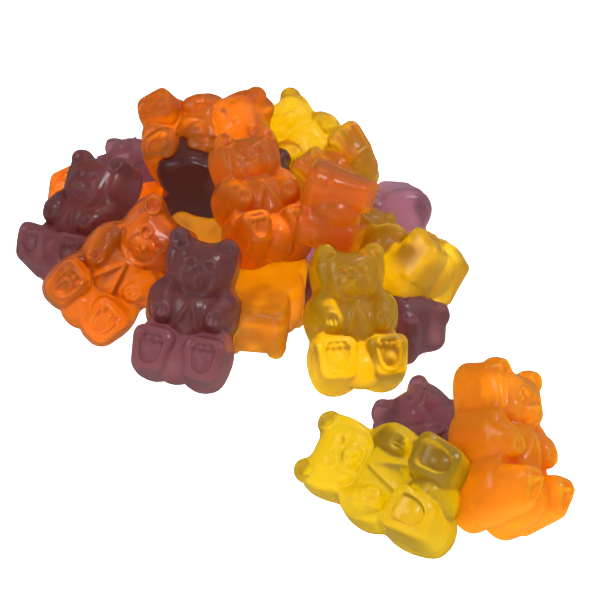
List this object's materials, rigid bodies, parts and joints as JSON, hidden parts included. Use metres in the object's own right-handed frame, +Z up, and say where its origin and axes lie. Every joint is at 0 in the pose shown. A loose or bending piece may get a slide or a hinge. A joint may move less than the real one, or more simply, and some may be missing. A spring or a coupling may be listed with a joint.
{
  "type": "heap of gummy bears",
  "caption": "Loose heap of translucent gummy bears in orange, yellow and purple, with a small group lying in front of it.",
  "frame": {"origin": "on the surface that the sweets lie on, under the middle of the whole arrangement's box", "axes": "+Z up, +X to the right, +Y from the small group in front towards the back of the heap"},
  "size_m": [0.0748, 0.1034, 0.0248],
  "materials": {
    "orange_jelly": "translucent satin jelly",
    "tangerine_jelly": "translucent satin jelly, lighter than the orange",
    "lemon_jelly": "translucent satin jelly",
    "grape_jelly": "translucent satin jelly",
    "amber_jelly": "translucent satin jelly"
  },
  "bodies": {
    "root": {"grape_front": "grape_jelly", "lemon_front": "lemon_jelly", "orange_front_left": "orange_jelly", "grape_left": "grape_jelly", "orange_centre": "orange_jelly", "orange_top_left": "orange_jelly", "lemon_right": "lemon_jelly", "orange_block": "orange_jelly", "lemon_top_right": "lemon_jelly", "grape_right_front": "grape_jelly", "amber_middle": "amber_jelly", "grape_back_right": "grape_jelly", "amber_left": "amber_jelly", "grape_middle": "grape_jelly", "orange_behind_left": "orange_jelly", "grape_far_left": "grape_jelly", "orange_back": "orange_jelly", "lemon_trio": "lemon_jelly", "orange_trio": "tangerine_jelly", "grape_trio": "grape_jelly"}
  },
  "joints": []
}
